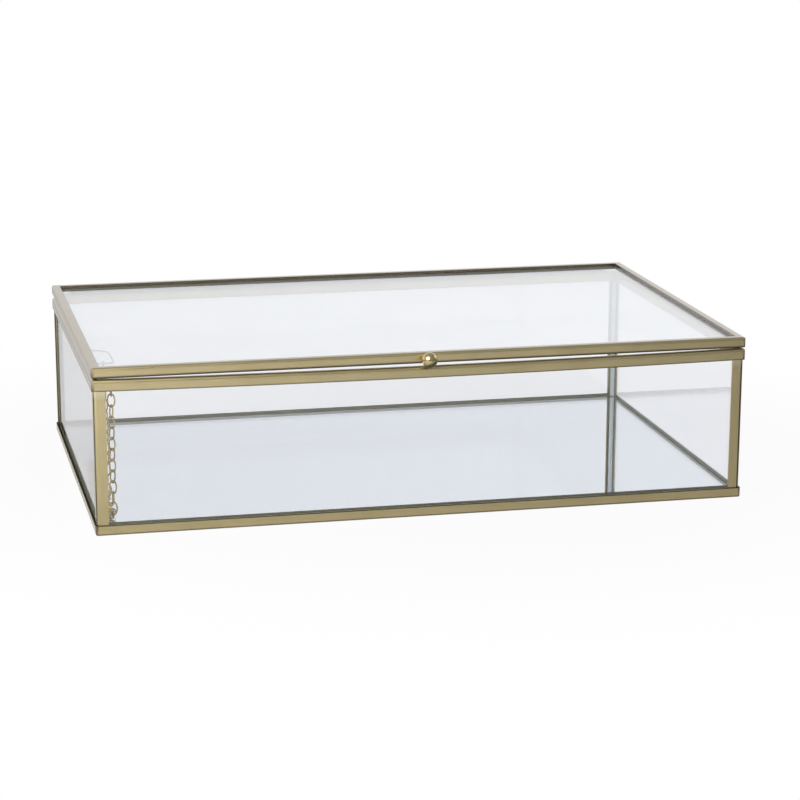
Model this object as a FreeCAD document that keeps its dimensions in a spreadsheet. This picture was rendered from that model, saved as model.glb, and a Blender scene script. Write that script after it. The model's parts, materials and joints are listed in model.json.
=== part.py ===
import FreeCAD, Part
import Sketcher
import math
import os

# Hinged keepsake box: glass panes in a folded brass frame, a mirror floor, a glass lid on a wire hinge,
# a ball knob and a stay chain. +X runs along the front, +Y to the back, +Z up, millimetres.
# The origin is on the table, under the middle of the closed box with its knob and hinge.

SIZES = {
    # outside of the case and of the lid
    "case_width": 300.0,
    "case_depth": 192.0,
    "case_height": 69.8,
    # folded brass strip
    "strip_gauge": 0.7,
    "bend_radius": 1.0,
    "mitre_gap": 0.05,
    "bottom_rail_height": 4.8,
    "bottom_rail_flange": 7.0,
    "top_rail_height": 5.2,
    "top_rail_lip": 5.0,
    "post_flange": 5.5,
    # glass and mirror
    "pane_thickness": 2.0,
    "mirror_thickness": 3.3,
    "backing_thickness": 0.6,
    "backing_inset": 2.0,
    # lid
    "lid_gap": 1.3,
    "lid_gauge": 1.0,
    "lid_flange": 4.0,
    "lid_glass_thickness": 3.0,
    "lid_glass_play": 0.3,
    # hinge
    "pin_diameter": 1.2,
    "pin_clearance": 0.05,
    "knuckle_diameter": 2.4,
    "knuckle_setback": 0.3,
    "knuckle_gap": 0.5,
    "leaf_thickness": 0.5,
    "lid_leaf_width": 7.0,
    "case_leaf_width": 3.7,
    "hinge_margin": 9.0,
    "case_middle_leaf_length": 106.0,
    "case_middle_leaf_offset": -2.5,
    "lid_right_leaf_length": 43.5,
    # knob
    "knob_diameter": 7.0,
    "knob_standoff": 4.2,
    "stud_diameter": 2.2,
    "stud_clearance": 0.05,
    "collar_diameter": 3.6,
    "collar_thickness": 0.6,
    # stay chain
    "wire_diameter": 0.7,
    "link_width": 4.0,
    "link_play": 0.1,
    "chain_floor_gap": 0.05,
    "case_staple_drop": 3.9,
    "case_staple_inset": 11.25,
    "case_staple_reach": 7.6,
    "case_staple_span": 4.5,
    "case_staple_bend": 1.4,
    "case_chain_inset": 9.6,
    "lid_staple_gap": 0.5,
    "lid_staple_seat": 2.5,
    "lid_staple_reach": 9.0,
    "lid_staple_span": 27.0,
    "lid_staple_near_bend": 2.0,
    "lid_staple_far_bend": 7.5,
    "lid_chain_inset": 8.0,
}

# links from each staple down to its run, in pairs, and in the two runs
DROP_LINKS = 12
CASE_RUN_LINKS = 16
LID_RUN_LINKS = 13
# flats round the chain's wire, and the angles where a staple's bend is faceted
WIRE_SIDES = 8
BEND_ANGLES = (0, 30, 60, 90)
SHARP_CORNERS = 1

doc = FreeCAD.newDocument("keepsake_box")
sheet = doc.addObject("Spreadsheet::Sheet", "sizes")
for row, (alias, number) in enumerate(SIZES.items(), start=1):
    sheet.set(f"A{row}", alias)
    sheet.set(f"B{row}", str(number))
    sheet.setAlias(f"B{row}", alias)
doc.recompute()


class Size:
    """A length with the sheet expression that it comes from."""

    def __init__(self, value, text):
        self.value = value
        self.text = text

    def __add__(self, other):
        other = as_size(other)
        return Size(self.value + other.value, f"({self.text} + {other.text})")

    def __sub__(self, other):
        other = as_size(other)
        return Size(self.value - other.value, f"({self.text} - {other.text})")

    def __mul__(self, factor):
        return Size(self.value * factor, f"({self.text} * {factor})")

    def __truediv__(self, divisor):
        return Size(self.value / divisor, f"({self.text} / {divisor})")

    def __neg__(self):
        return Size(-self.value, f"(0 - {self.text})")


def as_size(number):
    return number if isinstance(number, Size) else Size(number, str(number))


def size(alias):
    return Size(sheet.get(alias), f"sizes.{alias}")


case_width = size("case_width")
case_depth = size("case_depth")
case_height = size("case_height")
gauge = size("strip_gauge")
pane_thickness = size("pane_thickness")
lid_gauge = size("lid_gauge")
lid_flange = size("lid_flange")
wire = size("wire_diameter")

# what stands out in front and behind sets the middle of the whole box
knob_reach = size("knob_standoff") + size("knob_diameter") / 2
hinge_reach = size("knuckle_setback") + size("knuckle_diameter")
centre_y = (knob_reach - hinge_reach) / 2
left_x = -case_width / 2
right_x = case_width / 2
front_y = centre_y - case_depth / 2
back_y = centre_y + case_depth / 2

# levels from the table up
mirror_bottom = gauge + size("backing_thickness")
mirror_top = mirror_bottom + size("mirror_thickness")
lid_bottom = case_height + size("lid_gap")
lid_height = size("lid_glass_thickness") + lid_gauge * 2
pin_z = case_height + size("lid_gap") / 2
pin_y = back_y + size("knuckle_setback") + size("knuckle_diameter") / 2

# the posts stand inside the rails, and the panes inside the posts
pane_inset = gauge * 2
NODES = []


def node(thing, label):
    """Names a finished piece after its node."""
    thing.Label = label
    NODES.append(thing)
    return thing


def place(thing, x, y, z, axis=(0, 0, 1), turn=0):
    """Turns a piece about an axis through its own origin and ties its place to the sheet."""
    base = FreeCAD.Vector(as_size(x).value, as_size(y).value, as_size(z).value)
    thing.Placement = FreeCAD.Placement(base, FreeCAD.Rotation(FreeCAD.Vector(*axis), turn))
    for letter, length in zip("xyz", (x, y, z)):
        thing.setExpression(f".Placement.Base.{letter}", as_size(length).text)


def bind(thing, **lengths):
    for name, length in lengths.items():
        thing.setExpression(name, length.text)


def sketch_on(body, role, name):
    sketch = body.newObject("Sketcher::SketchObject", name)
    plane = next(item for item in body.Origin.OriginFeatures if item.Role == role)
    sketch.AttachmentSupport = [(plane, "")]
    sketch.MapMode = "FlatFace"
    return sketch


def pin_point(sketch, kind, axis, line, length):
    """Holds the start of a sketch line at a length from the sketch's origin along one axis."""
    if not isinstance(length, Size):
        sketch.addConstraint(Sketcher.Constraint("PointOnObject", line, 1, axis))
        return
    index = sketch.addConstraint(Sketcher.Constraint(kind, -1, 1, line, 1, length.value))
    sketch.setExpression(f"Constraints[{index}]", length.text)


def outline(sketch, points):
    """Draws a closed straight-sided outline; each coordinate is a Size, or 0 on an axis."""
    first = sketch.GeometryCount
    spots = [FreeCAD.Vector(as_size(x).value, as_size(y).value, 0) for x, y in points]
    for start, end in zip(spots, spots[1:] + spots[:1]):
        sketch.addGeometry(Part.LineSegment(start, end))
    for step, (x, y) in enumerate(points):
        line = first + step
        following = first + (step + 1) % len(points)
        sketch.addConstraint(Sketcher.Constraint("Coincident", line, 2, following, 1))
        pin_point(sketch, "DistanceX", -2, line, x)
        pin_point(sketch, "DistanceY", -1, line, y)


def edges_along(feature, direction, spots):
    """Names of the feature's straight edges along X or Z that pass through the given spots."""
    names = []
    for number, edge in enumerate(feature.Shape.Edges, start=1):
        ends = [vertex.Point for vertex in edge.Vertexes]
        run = ends[-1] - ends[0]
        if run.Length < 1e-6 or abs(abs(run.dot(direction)) / run.Length - 1) > 1e-6:
            continue
        flat = ends[0] - direction * ends[0].dot(direction)
        if any((flat - spot).Length < 1e-6 for spot in spots):
            names.append(f"Edge{number}")
    return names


def pad(body, sketch, length):
    feature = body.newObject("PartDesign::Pad", "Pad")
    feature.Profile = sketch
    bind(feature, Length=length)
    doc.recompute()
    return feature


def rounded(body, base, edges):
    feature = body.newObject("PartDesign::Fillet", "Bends")
    feature.Base = (base, edges)
    bind(feature, Radius=size("bend_radius"))
    doc.recompute()


ALONG_X = FreeCAD.Vector(1, 0, 0)
ALONG_Z = FreeCAD.Vector(0, 0, 1)

# each side, a quarter turn on from the one before: the outer corner where its rails start, and their length
SIDES = {
    "front": (left_x, front_y, case_width),
    "right": (right_x, front_y, case_depth),
    "back": (right_x, back_y, case_width),
    "left": (left_x, back_y, case_depth),
}
# each corner in the same order, with the outer corner of its post inside the rails
CORNERS = {
    "front_left": (left_x + gauge, front_y + gauge),
    "front_right": (right_x - gauge, front_y + gauge),
    "back_right": (right_x - gauge, back_y - gauge),
    "back_left": (left_x + gauge, back_y - gauge),
}
QUARTER_TURN = 90


def turn_of(name, places):
    return QUARTER_TURN * list(places).index(name)


def rail(label, profile, flange, bends, side, level):
    """A strip folded to a profile and mitred at both ends, with its outer face at Y = 0 and the box at +Y."""
    corner_x, corner_y, length = SIDES[side]
    body = doc.addObject("PartDesign::Body", "Rail")
    section = sketch_on(body, "YZ_Plane", "Section")
    outline(section, profile)
    strip = pad(body, section, length)
    cuts = sketch_on(body, "XY_Plane", "Mitres")
    gap = size("mitre_gap")
    depth = flange + gauge
    outline(cuts, [(0, 0), (gap, 0), (gap + depth, depth), (0, depth)])
    outline(cuts, [(length, 0), (length, depth), (length - gap - depth, depth), (length - gap, 0)])
    mitred = body.newObject("PartDesign::Pocket", "Mitre")
    mitred.Profile = cuts
    mitred.Type = "ThroughAll"
    mitred.Midplane = True
    doc.recompute()
    if mitred.Shape.Volume >= strip.Shape.Volume:
        raise RuntimeError(f"{label}: the mitres cut nothing")
    spots = [FreeCAD.Vector(0, as_size(y).value, as_size(z).value) for y, z in bends]
    rounded(body, mitred, edges_along(mitred, ALONG_X, spots))
    place(body, corner_x, corner_y, level, turn=turn_of(side, SIDES))
    node(body, label)


def bottom_rail(side):
    """Angle strip: a low wall outside, and a flange under the floor that the box stands on."""
    tall = size("bottom_rail_height")
    wide = size("bottom_rail_flange")
    profile = [(0, 0), (wide, 0), (wide, gauge), (gauge, gauge), (gauge, tall), (0, tall)]
    rail(f"bottom_rail_{side}", profile, wide, [(0, 0)], side, 0)


def top_rail(side):
    """Channel strip, open downwards, over the posts and the top edge of a pane."""
    tall = size("top_rail_height")
    wide = pane_inset + pane_thickness + gauge
    inner = wide - gauge
    lip = tall - size("top_rail_lip")
    web = tall - gauge
    profile = [(0, 0), (gauge, 0), (gauge, web), (inner, web)]
    profile += [(inner, lip), (wide, lip), (wide, tall), (0, tall)]
    rail(f"top_rail_{side}", profile, wide, [(0, tall), (wide, tall)], side, case_height - tall)


def lid_rail(side):
    """Channel strip, open inwards, round the edge of the lid glass."""
    wide = lid_flange
    tall = lid_height
    upper = tall - lid_gauge
    profile = [(0, 0), (wide, 0), (wide, lid_gauge), (lid_gauge, lid_gauge)]
    profile += [(lid_gauge, upper), (wide, upper), (wide, tall), (0, tall)]
    rail(f"lid_rail_{side}", profile, wide, [(0, 0), (0, tall)], side, lid_bottom)


def post(corner):
    """Angle strip that stands on the bottom rails' flanges, inside their walls."""
    corner_x, corner_y = CORNERS[corner]
    wide = size("post_flange")
    body = doc.addObject("PartDesign::Body", "Post")
    section = sketch_on(body, "XY_Plane", "Section")
    outline(section, [(0, 0), (wide, 0), (wide, gauge), (gauge, gauge), (gauge, wide), (0, wide)])
    angle = pad(body, section, case_height - gauge * 2)
    rounded(body, angle, edges_along(angle, ALONG_Z, [FreeCAD.Vector()]))
    place(body, corner_x, corner_y, gauge, turn=turn_of(corner, CORNERS))
    node(body, f"post_{corner}")


def plate(label, low, high):
    """A flat sheet between two opposite corners."""
    box = doc.addObject("Part::Box", "Plate")
    lengths = [far - near for near, far in zip(low, high)]
    bind(box, Length=lengths[0], Width=lengths[1], Height=lengths[2])
    place(box, *low)
    node(box, label)


for side in SIDES:
    bottom_rail(side)
    top_rail(side)
    lid_rail(side)

for corner in CORNERS:
    post(corner)

# the front and back panes run the full width, and the side panes stand between them on the mirror
outer_left = left_x + pane_inset
outer_right = right_x - pane_inset
outer_front = front_y + pane_inset
outer_back = back_y - pane_inset
inner_left = outer_left + pane_thickness
inner_right = outer_right - pane_thickness
inner_front = outer_front + pane_thickness
inner_back = outer_back - pane_thickness
pane_top = case_height - gauge
backing_inset = size("backing_inset")
plate("mirror_floor", (outer_left, outer_front, mirror_bottom), (outer_right, outer_back, mirror_top))
plate(
    "backing_sheet",
    (outer_left + backing_inset, outer_front + backing_inset, gauge),
    (outer_right - backing_inset, outer_back - backing_inset, mirror_bottom),
)
plate("pane_front", (outer_left, outer_front, mirror_top), (outer_right, inner_front, pane_top))
plate("pane_back", (outer_left, inner_back, mirror_top), (outer_right, outer_back, pane_top))
plate("pane_left", (outer_left, inner_front, mirror_top), (inner_left, inner_back, pane_top))
plate("pane_right", (inner_right, inner_front, mirror_top), (outer_right, inner_back, pane_top))
glass_inset = lid_gauge + size("lid_glass_play")
plate(
    "lid_glass",
    (left_x + glass_inset, front_y + glass_inset, lid_bottom + lid_gauge),
    (right_x - glass_inset, back_y - glass_inset, lid_bottom + lid_gauge + size("lid_glass_thickness")),
)


def rod_along_x(diameter, x, length):
    """A rod on the hinge line."""
    rod = doc.addObject("Part::Cylinder", "Rod")
    bind(rod, Radius=diameter / 2, Height=length)
    place(rod, x, pin_y, pin_z, axis=(0, 1, 0), turn=90)
    return rod


def hinge_leaf(label, x, length, width, level):
    """A flat leaf in the gap between lid and case, with a knuckle rolled round the pin behind it."""
    knuckle = rod_along_x(size("knuckle_diameter"), x, length)
    leaf = doc.addObject("Part::Box", "Leaf")
    start_y = back_y - width
    bind(leaf, Length=length, Width=pin_y - start_y, Height=size("leaf_thickness"))
    place(leaf, x, start_y, level)
    whole = doc.addObject("Part::Fuse", "Rolled")
    whole.Base = knuckle
    whole.Tool = leaf
    bored = doc.addObject("Part::Cut", "Bored")
    bored.Base = whole
    bored.Tool = rod_along_x(size("pin_diameter") + size("pin_clearance") * 2, x, length)
    node(bored, label)


hinge_left = left_x + size("hinge_margin")
hinge_right = right_x - size("hinge_margin")
knuckle_gap = size("knuckle_gap")
case_middle_length = size("case_middle_leaf_length")
case_middle_x = size("case_middle_leaf_offset") - case_middle_length / 2
lid_left_length = case_middle_x - knuckle_gap - hinge_left
lid_right_x = case_middle_x + case_middle_length + knuckle_gap
lid_right_length = size("lid_right_leaf_length")
case_right_x = lid_right_x + lid_right_length + knuckle_gap
lid_leaf_level = lid_bottom - size("leaf_thickness")
lid_leaf_width = size("lid_leaf_width")
case_leaf_width = size("case_leaf_width")
hinge_leaf("hinge_leaf_lid_left", hinge_left, lid_left_length, lid_leaf_width, lid_leaf_level)
hinge_leaf("hinge_leaf_lid_right", lid_right_x, lid_right_length, lid_leaf_width, lid_leaf_level)
hinge_leaf("hinge_leaf_case_middle", case_middle_x, case_middle_length, case_leaf_width, case_height)
hinge_leaf("hinge_leaf_case_right", case_right_x, hinge_right - case_right_x, case_leaf_width, case_height)
node(rod_along_x(size("pin_diameter"), hinge_left, hinge_right - hinge_left), "hinge_pin")


def knob_stud():
    """A turned stud with a collar against the lid rail; its end is at the middle of the ball."""
    collar = size("collar_thickness")
    reach = size("knob_standoff")
    stud_radius = size("stud_diameter") / 2
    collar_radius = size("collar_diameter") / 2
    body = doc.addObject("PartDesign::Body", "Stud")
    section = sketch_on(body, "YZ_Plane", "Section")
    shank = [(0, 0), (reach, 0), (reach, stud_radius), (collar, stud_radius)]
    outline(section, shank + [(collar, collar_radius), (0, collar_radius)])
    turned = body.newObject("PartDesign::Revolution", "Turned")
    turned.Profile = section
    turned.ReferenceAxis = (section, ["H_Axis"])
    turned.Angle = 360
    place(body, 0, front_y, lid_bottom + lid_height / 2, turn=180)
    node(body, "knob_stud")


def knob_ball():
    """A ball with a blind bore in its back for the stud."""
    middle = (0, front_y - size("knob_standoff"), lid_bottom + lid_height / 2)
    ball = doc.addObject("Part::Sphere", "Ball")
    bind(ball, Radius=size("knob_diameter") / 2)
    place(ball, *middle)
    bore = doc.addObject("Part::Cylinder", "Bore")
    bind(bore, Radius=size("stud_diameter") / 2 + size("stud_clearance"), Height=size("knob_diameter"))
    place(bore, *middle, axis=(1, 0, 0), turn=-90)
    bored = doc.addObject("Part::Cut", "Bored")
    bored.Base = ball
    bored.Tool = bore
    node(bored, "knob_ball")


knob_stud()
knob_ball()

# the links divide the drop from the case staple to the mirror; the lid's run then lies on the case's run
case_eye_z = case_height - size("case_staple_drop")
lid_eye_z = lid_bottom - size("lid_staple_gap") - wire / 2
case_run_z = mirror_top + size("link_width") / 2 + size("chain_floor_gap")
pitch = (case_eye_z - case_run_z) / DROP_LINKS
case_eye_y = front_y + size("case_staple_inset")
lid_eye_y = case_eye_y + pitch * (CASE_RUN_LINKS - LID_RUN_LINKS)
case_chain_x = left_x + size("case_chain_inset")
lid_chain_x = left_x + size("lid_chain_inset")


def piece(label, shape):
    thing = doc.addObject("Part::Feature", label)
    thing.Shape = shape
    node(thing, label)


def staple(label, seat_x, y, z, reach, span, near_bend, far_bend):
    """Wire bent to a loop: two legs along X, the first on the chain's pivot line, and a crossbar."""
    way = math.copysign(1, span)
    turns = [math.radians(angle) for angle in BEND_ANGLES]
    near, far = (
        [(reach - bend * (1 - math.sin(turn)), way * bend * (1 - math.cos(turn))) for turn in turns]
        for bend in (near_bend, far_bend)
    )
    route = [(0, 0)] + near + [(x, span - aside) for x, aside in reversed(far)] + [(0, span)]
    path = Part.makePolygon([FreeCAD.Vector(seat_x + x, y + aside, z) for x, aside in route])
    rim = wire.value / 2 / math.cos(math.pi / WIRE_SIDES)
    angles = [math.pi * (2 * side + 1) / WIRE_SIDES for side in range(WIRE_SIDES)]
    ring = [FreeCAD.Vector(seat_x, y + rim * math.cos(a), z + rim * math.sin(a)) for a in angles]
    section = Part.makePolygon(ring + ring[:1])
    piece(label, path.makePipeShell([section], True, False, SHARP_CORNERS))


# the case staple is soldered to the inner lip of the top rail, the lid staple under the lid rail's flange
staple(
    "case_chain_staple",
    (left_x + pane_inset + pane_thickness + gauge).value,
    case_eye_y.value,
    case_eye_z.value,
    size("case_staple_reach").value,
    -size("case_staple_span").value,
    size("case_staple_bend").value,
    size("case_staple_bend").value,
)
staple(
    "lid_chain_staple",
    (left_x + lid_flange - size("lid_staple_seat")).value,
    lid_eye_y.value,
    lid_eye_z.value,
    (size("lid_staple_seat") + size("lid_staple_reach")).value,
    size("lid_staple_span").value,
    size("lid_staple_near_bend").value,
    size("lid_staple_far_bend").value,
)


def ring_face(half_length, half_width):
    """A long octagon, regular at its ends."""
    cut = half_width * (1 - math.tan(math.pi / 8))
    quarter = [(half_length, half_width - cut), (half_length - cut, half_width)]
    corners = quarter + [(-x, y) for x, y in reversed(quarter)]
    corners += [(-x, -y) for x, y in corners]
    loop = [FreeCAD.Vector(x, y, -wire.value / 2) for x, y in corners]
    return Part.Face(Part.makePolygon(loop + loop[:1]))


def chain_link():
    """One oval link of round wire, with eight sides round the wire and round each end."""
    inner_length = pitch.value / 2 + size("link_play").value
    inner_width = size("link_width").value / 2 - wire.value
    outside = ring_face(inner_length + wire.value, inner_width + wire.value)
    ring = outside.cut(ring_face(inner_length, inner_width)).extrude(ALONG_Z * wire.value)
    rims = [edge for edge in ring.Edges if abs(edge.Vertexes[0].Z - edge.Vertexes[-1].Z) < 1e-6]
    return ring.makeChamfer(wire.value * (1 - math.sqrt(0.5)), rims).Solids[0]


LINK = chain_link()
LINK_REACH = (pitch / 2 - size("link_play") - wire / 2).value


def chain_stretch(label, pivot, heading, count, drift):
    """Straight stretch of links from a pivot line along X; every second link lies across the first.
    Drift is the small step along X from link to link. Returns the pivot at the far end."""
    links = []
    upright = heading.cross(ALONG_X)
    for step in range(count):
        centre = pivot + heading * (LINK_REACH + step * pitch.value) + ALONG_X * (drift * (step + 1))
        across = upright if step % 2 == 0 else ALONG_X
        turn = FreeCAD.Rotation(heading, across, heading.cross(across), "XYZ")
        link = LINK.copy()
        link.Placement = FreeCAD.Placement(centre, turn)
        links.append(link)
    piece(label, Part.makeCompound(links))
    return pivot + heading * (count * pitch.value) + ALONG_X * (drift * count)


def half_chain(name, eye_x, eye_y, eye_z, run_links):
    """From a staple straight down, then along the floor to the fold where both halves meet."""
    drift = (fold_x - eye_x).value / (DROP_LINKS + run_links)
    eye = FreeCAD.Vector(eye_x.value, eye_y.value, eye_z.value)
    elbow = chain_stretch(f"chain_{name}_drop", eye, FreeCAD.Vector(0, 0, -1), DROP_LINKS, drift)
    chain_stretch(f"chain_{name}_run", elbow, FreeCAD.Vector(0, 1, 0), run_links, drift)


fold_x = (case_chain_x + lid_chain_x) / 2
half_chain("case", case_chain_x, case_eye_y, case_eye_z, CASE_RUN_LINKS)
half_chain("lid", lid_chain_x, lid_eye_y, lid_eye_z, LID_RUN_LINKS)

doc.recompute()
for thing in doc.Objects:
    if "Invalid" in thing.State or "Error" in thing.State:
        raise RuntimeError(f"{thing.Label} failed to build: {thing.State}")
for thing in NODES:
    if thing.Shape.isNull() or not thing.Shape.isValid():
        raise RuntimeError(f"{thing.Label} has no valid shape")

os.makedirs("parts", exist_ok=True)
for thing in NODES:
    thing.Shape.exportStep(f"parts/{thing.Label}.step")
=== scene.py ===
import json
import math

import bmesh
import bpy
from mathutils import Matrix, Vector


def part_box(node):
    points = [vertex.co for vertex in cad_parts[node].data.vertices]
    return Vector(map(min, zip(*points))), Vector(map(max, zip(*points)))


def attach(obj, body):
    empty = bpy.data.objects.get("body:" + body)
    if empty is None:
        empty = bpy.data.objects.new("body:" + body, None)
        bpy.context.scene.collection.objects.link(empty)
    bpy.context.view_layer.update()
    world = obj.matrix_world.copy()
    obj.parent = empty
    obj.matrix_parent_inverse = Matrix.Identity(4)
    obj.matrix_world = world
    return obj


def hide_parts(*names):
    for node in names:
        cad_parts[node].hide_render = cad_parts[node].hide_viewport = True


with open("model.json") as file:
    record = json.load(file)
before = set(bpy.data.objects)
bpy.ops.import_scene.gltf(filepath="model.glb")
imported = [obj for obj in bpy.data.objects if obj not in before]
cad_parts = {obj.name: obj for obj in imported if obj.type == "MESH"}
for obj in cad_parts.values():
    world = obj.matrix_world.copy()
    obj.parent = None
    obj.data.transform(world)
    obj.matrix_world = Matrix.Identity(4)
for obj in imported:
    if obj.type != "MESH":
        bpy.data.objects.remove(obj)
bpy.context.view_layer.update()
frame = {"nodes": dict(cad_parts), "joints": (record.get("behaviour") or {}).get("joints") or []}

# Bottom rails: four strips of sheet brass folded to an angle, mitred and soldered at the corners.
# Their flanges lie on the table under the floor, and their low walls cover the feet of the panes.
# The outer corners are filed round after soldering, and the sheet has fine streaks from brushing.
MM = 0.001
GAUGE = 0.7 * MM
BEND_RADIUS = 1.6 * MM
BEND_STEPS = 8
EDGE_RADIUS = 0.2 * MM
EDGE_STEPS = 3
CORNER_RADIUS = 1.6 * MM
CORNER_CUTS = 6
MITRE_ANGLE = 45
MITRE_GAP = 0.01 * MM
RISE_STEPS = 20
CUT_TOLERANCE = 1e-9
SHARP_ANGLE = 35
BOTTOM_WALL = 4.8 * MM
BOTTOM_FLANGE = 7.0 * MM
# Colours that the marks paint: painted shade and dark rims, and the pale solder band.
SHADE_AND_RIM_DARK = (0.13, 0.105, 0.05)
SOLDERED = (0.83, 0.76, 0.55)
WHOLLY_DARKENED = 0.99
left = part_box("bottom_rail_left")[0].x
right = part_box("bottom_rail_right")[1].x
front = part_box("bottom_rail_front")[0].y
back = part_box("bottom_rail_back")[1].y
SIDES = {
    "front": (left, front, right - left, 0),
    "right": (right, front, back - front, 90),
    "back": (right, back, right - left, 180),
    "left": (left, back, back - front, 270),
}


def feed(tree, step, inputs):
    """Gives a step of a finish its inputs, each a plain value or the output of an earlier step."""
    for socket, value in inputs.items():
        if isinstance(value, bpy.types.NodeSocket):
            tree.links.new(value, step.inputs[socket])
        else:
            step.inputs[socket].default_value = value


def add_step(tree, kind, inputs, **settings):
    """Adds one step to a finish."""
    step = tree.nodes.new(kind)
    for setting, value in settings.items():
        setattr(step, setting, value)
    feed(tree, step, inputs)
    return step


def new_finish(name):
    """A new material, with its steps and its main shader."""
    material = bpy.data.materials.new(name)
    material.use_nodes = True
    return material, material.node_tree, material.node_tree.nodes["Principled BSDF"]


def clouds(tree, scale, detail, place=None):
    """A cloudy pattern, in the piece's own space unless another place is given."""
    if place is None:
        place = add_step(tree, "ShaderNodeTexCoord", {}).outputs["Object"]
    pattern = add_step(tree, "ShaderNodeTexNoise", {"Vector": place, "Scale": scale, "Detail": detail})
    return pattern.outputs["Fac"]


def two_tones(tree, pattern, low, high, span):
    """A colour that goes from one tone to another over a span of a pattern."""
    tones = add_step(tree, "ShaderNodeValToRGB", {"Fac": pattern})
    for stop, position, tone in zip(tones.color_ramp.elements, span, (low, high)):
        stop.position = position
        stop.color = (*tone, 1)
    return tones.outputs["Color"]


def change(tree, value, over, gives, kind="LINEAR"):
    """A number that goes from one end of gives to the other as a value goes over a span."""
    inputs = {
        "Value": value,
        "From Min": over[0],
        "From Max": over[1],
        "To Min": gives[0],
        "To Max": gives[1],
    }
    return add_step(tree, "ShaderNodeMapRange", inputs, interpolation_type=kind).outputs["Result"]


def grain(tree, shader, pattern, strength, depth):
    """Raises a pattern into a fine grain of the surface."""
    bump = add_step(
        tree, "ShaderNodeBump", {"Strength": strength, "Distance": depth, "Height": pattern}
    )
    feed(tree, shader, {"Normal": bump.outputs["Normal"]})


def brass(name, bright, dull, smooth, rough, streak_scale, lacquer, glance=(1, 1, 1)):
    """Brass with drawn streaks along the strip and faint dull patches, dark where it is marked with painted
    shade and dark rims, and pale where it is marked as soldered. Glance is its tint at low angles."""
    material, tree, shader = new_finish(name)
    strip = add_step(tree, "ShaderNodeAttribute", {}, attribute_name="strip")
    stretch = add_step(
        tree, "ShaderNodeMapping", {"Vector": strip.outputs["Vector"], "Scale": streak_scale}
    )
    streaks = clouds(tree, scale=1.0, detail=3.0, place=stretch.outputs["Vector"])
    patches = clouds(tree, scale=45.0, detail=5.0)
    worn = add_step(tree, "ShaderNodeMix", {"A": patches, "B": streaks})
    skin = two_tones(tree, worn.outputs["Result"], dull, bright, span=(0.4, 0.6))
    for mark, colour in (("painted_shade_and_dark_rim", SHADE_AND_RIM_DARK), ("solder", SOLDERED)):
        marked = add_step(tree, "ShaderNodeAttribute", {}, attribute_name=mark)
        skin = add_step(
            tree,
            "ShaderNodeMix",
            {"Factor": marked.outputs["Fac"], "A": skin, "B": (*colour, 1)},
            data_type="RGBA",
        ).outputs["Result"]
    finish = {
        "Base Color": skin,
        "Metallic": 1.0,
        "Roughness": change(tree, streaks, over=(0.3, 0.7), gives=(smooth, rough)),
        "Specular Tint": (*glance, 1),
        "Coat Weight": lacquer,
        "Coat Roughness": 0.12,
        "Coat IOR": 1.8,
    }
    feed(tree, shader, finish)
    grain(tree, shader, streaks, strength=0.22, depth=0.03 * MM)
    return material


frame_brass = brass(
    "brushed_brass",
    bright=(0.62, 0.505, 0.245),
    dull=(0.55, 0.445, 0.208),
    smooth=0.27,
    rough=0.36,
    streak_scale=(70, 2200, 2200),
    lacquer=0.9,
    glance=(0.66, 0.64, 0.76),
)
# Dark unlacquered brass for skin wholly under the painted shade and dark rim marks.
bare_shade_and_rim_brass = brass(
    "bare_brass_painted_shade_and_rim",
    bright=(0.33, 0.285, 0.13),
    dull=(0.22, 0.188, 0.085),
    smooth=0.38,
    rough=0.5,
    streak_scale=(300, 900, 900),
    lacquer=0.0,
    glance=(0.4, 0.39, 0.33),
)
SKIN, DARKENED = 0, 1


def points(geometry):
    """The points among the elements of a shape."""
    return [item for item in geometry if isinstance(item, bmesh.types.BMVert)]


def draw_out(shape, length):
    """Draws a flat section out along X into a solid."""
    run = bmesh.ops.extrude_face_region(shape, geom=shape.faces[:])["geom"]
    bmesh.ops.translate(shape, verts=points(run), vec=(length, 0, 0))


def folded_strip(profile, length):
    """A strip folded to a profile, along X, with its outer face at Y = 0. Each corner has its radius."""
    shape = bmesh.new()
    corners = [shape.verts.new((0, y, z)) for y, z, radius in profile]
    shape.faces.new(corners)
    for radius in {spot[2] for spot in profile}:
        rounded = [corner for corner, spot in zip(corners, profile) if spot[2] == radius]
        bmesh.ops.bevel(
            shape,
            geom=rounded,
            offset=radius,
            segments=EDGE_STEPS if radius == EDGE_RADIUS else BEND_STEPS,
            profile=0.5,
            affect="VERTICES",
            material=-1,
        )
    draw_out(shape, length)
    return shape


def split(shape, spot, way, saw_off=False):
    """Cuts the faces of a shape along a plane, and gives the cut. What lies beyond may be sawn off."""
    everything = shape.verts[:] + shape.edges[:] + shape.faces[:]
    return bmesh.ops.bisect_plane(
        shape, geom=everything, dist=CUT_TOLERANCE, plane_co=spot, plane_no=way, clear_outer=saw_off
    )["geom_cut"]


def mark_beyond(shape, mark, spot, way, fade):
    """Marks the skin beyond a plane, where the finish differs; the mark fades in over a short way."""
    split(shape, spot, way)
    layer = shape.verts.layers.float.get(mark) or shape.verts.layers.float.new(mark)
    for vert in shape.verts:
        depth = (vert.co - Vector(spot)).dot(Vector(way)) / fade
        vert[layer] = max(vert[layer], min(1.0, max(0.0, depth)))


def bare_where_darkened(shape):
    """Leaves the lacquer off the skin that is wholly darkened by the painted shade and dark rim marks."""
    layer = shape.verts.layers.float["painted_shade_and_dark_rim"]
    for face in shape.faces:
        bare = all(vert[layer] > WHOLLY_DARKENED for vert in face.verts)
        face.material_index = DARKENED if bare else SKIN


def cut_end(shape, spot, outward):
    """Saws off what lies outward of a plane, and closes the cut with lacquered skin."""
    cut = split(shape, spot, outward, saw_off=True)
    rim = [item for item in cut if isinstance(item, bmesh.types.BMEdge)]
    for face in bmesh.ops.holes_fill(shape, edges=rim, sides=0)["faces"]:
        face.material_index = SKIN


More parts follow.
